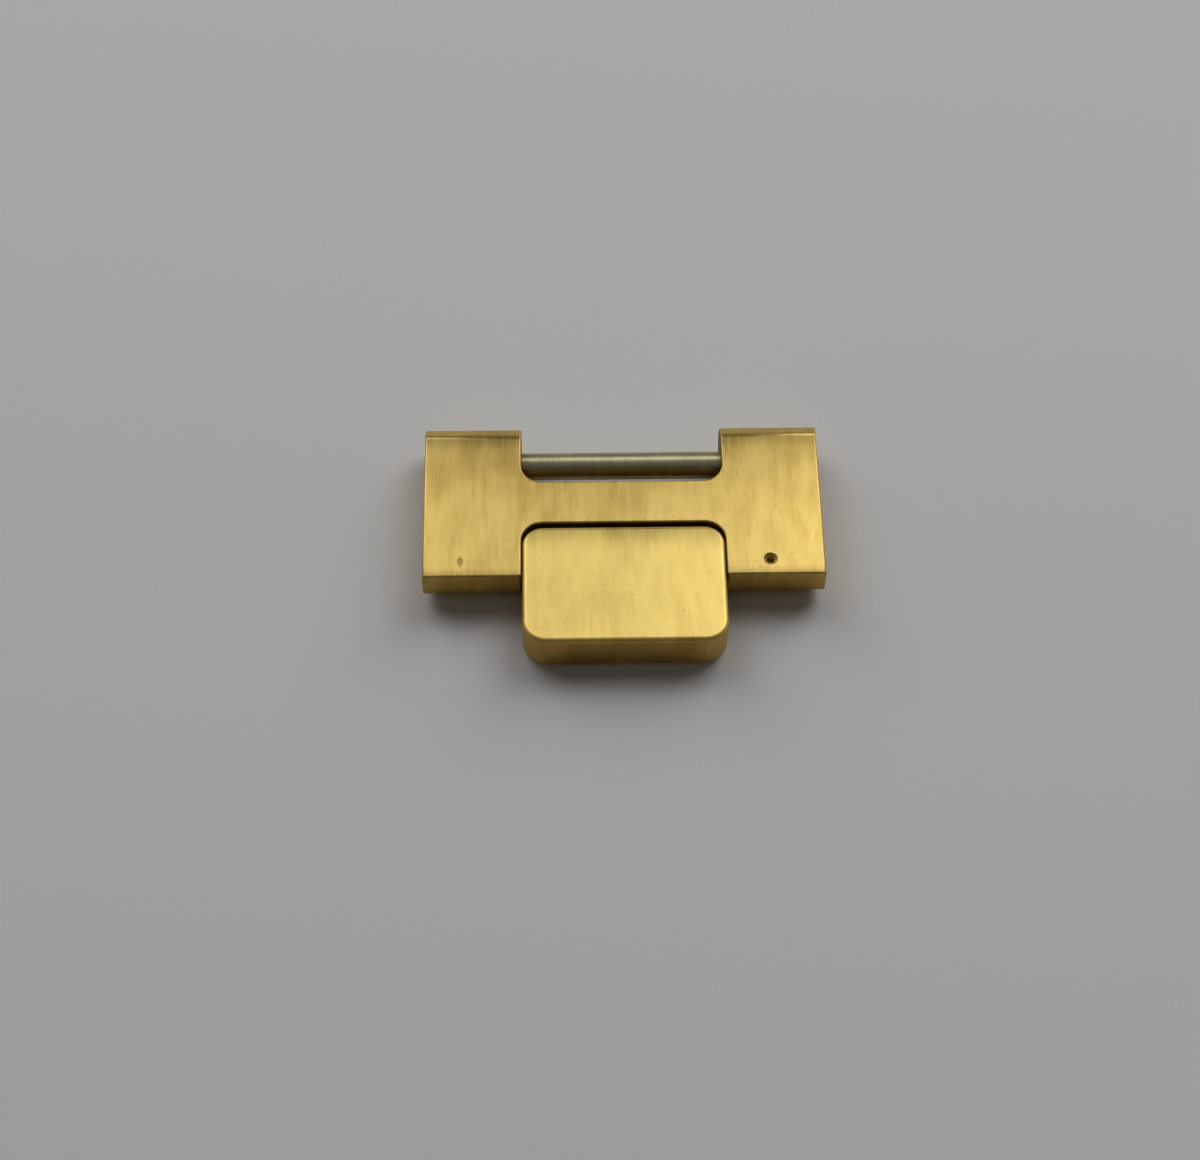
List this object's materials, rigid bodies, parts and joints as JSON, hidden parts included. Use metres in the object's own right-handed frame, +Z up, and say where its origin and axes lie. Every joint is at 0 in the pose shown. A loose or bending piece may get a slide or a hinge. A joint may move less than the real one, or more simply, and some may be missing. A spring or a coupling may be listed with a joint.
{
  "type": "bracelet link",
  "caption": "Watch bracelet link: H-shaped outer link with a hinged centre link in front and a screw across the rear slot for the next link.",
  "frame": {"origin": "middle of the whole link in plan, on the surface it rests on", "axes": "+X across the bracelet towards the screw head, +Y along the bracelet towards the rear slot, +Z up through the face the picture shows"},
  "size_m": [0.02, 0.0132, 0.0025],
  "materials": {
    "gold": "brushed along the bracelet",
    "steel": "turned"
  },
  "bodies": {
    "outer": {"outer_link": "gold", "hinge_pin": "steel", "bore_plug": "gold", "lock_pin_left": "gold", "lock_pin_right": "steel"},
    "centre": {"centre_link": "gold"},
    "screw": {"link_screw": "steel"}
  },
  "joints": [
    {"name": "centre_swing", "type": "hinge", "parent": "outer", "child": "centre", "pos_m": [0, -0.00193, 0.00125], "axis": [1, 0, 0], "range_deg": [-12, 105]},
    {"name": "screw_draw", "type": "slide", "parent": "outer", "child": "screw", "axis": [1, 0, 0], "range_m": [0, 0.02]}
  ]
}
